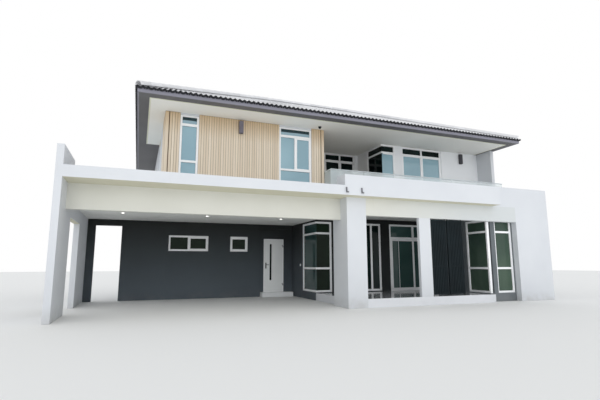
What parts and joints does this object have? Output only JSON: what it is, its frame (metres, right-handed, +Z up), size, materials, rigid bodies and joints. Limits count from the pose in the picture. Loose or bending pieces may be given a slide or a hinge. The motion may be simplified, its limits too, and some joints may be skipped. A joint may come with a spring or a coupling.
{
  "type": "detached house",
  "caption": "Two-storey house with an open carport, a porch with dark shutters, a glazed balcony, timber boards on the upper storey and a low hipped roof.",
  "frame": {"origin": "centre of the outline on the ground", "axes": "+X to the right along the street front, +Y from the street to the back, +Z up"},
  "size_m": [15.36, 12.044, 8.508],
  "materials": {
    "white_render": "smooth painted render",
    "charcoal_render": "smooth dark painted render",
    "floor_tile": "matt stone tile and screed",
    "white_aluminium": "white powder coat",
    "glass": "tinted float glass",
    "grey_metal": "grey powder coat",
    "dark_louvre": "satin dark paint",
    "timber": "pale stained boards",
    "dark_soffit": "dark grey board",
    "fascia_paint": "grey painted board",
    "roof_tile": "pale concrete tile"
  },
  "bodies": {
    "house": {"carport_fin_wall": "white_render", "carport_side_wall": "white_render", "carport_front_beam": "white_render", "carport_ceiling": "white_render", "carport_downlights": "grey_metal", "carport_band": "white_render", "balcony_parapet": "white_render", "overflow_spouts": "grey_metal", "archway_wall": "charcoal_render", "carport_back_wall": "charcoal_render", "side_door_wall": "charcoal_render", "side_door_step": "floor_tile", "side_door_frame": "white_aluminium", "main_pillar": "white_render", "porch_column": "white_render", "porch_beam": "white_render", "porch_floor": "floor_tile", "porch_ceiling": "white_render", "bay_side_wall": "charcoal_render", "porch_back_wall": "charcoal_render", "sliding_door_frame": "white_aluminium", "wing_walls": "charcoal_render", "wing_facade_wall": "white_render", "wing_parapet": "white_render", "shutter_panels": "dark_louvre", "left_wall": "white_render", "right_wall": "white_render", "back_wall": "white_render", "ground_floor": "floor_tile", "first_floor": "floor_tile", "balcony_floor": "floor_tile", "upper_front_wall": "white_render", "balcony_walls": "white_render", "timber_cladding": "timber", "ground_window_frames": "white_aluminium", "upper_window_frames": "white_aluminium", "ground_glass": "glass", "upper_glass": "glass", "balustrade": "glass", "wall_lamps": "grey_metal", "dome_camera": "grey_metal", "eaves_soffit": "white_render", "eaves_border": "dark_soffit", "fascia": "fascia_paint", "roof_tiles": "roof_tile", "ridge_caps": "roof_tile"},
    "side_door": {"side_door_leaf": "white_aluminium", "side_door_handle": "grey_metal"},
    "sliding_door": {"sliding_door_leaf": "white_aluminium", "sliding_door_glass": "glass"}
  },
  "joints": [
    {"name": "side_door_hinge", "type": "hinge", "parent": "house", "child": "side_door", "pos_m": [-0.5245, -0.408, 1.2], "axis": [0, 0, 1], "range_deg": [0, 90]},
    {"name": "sliding_door_slide", "type": "slide", "parent": "house", "child": "sliding_door", "axis": [1, 0, 0], "range_m": [0, 0.96]}
  ]
}
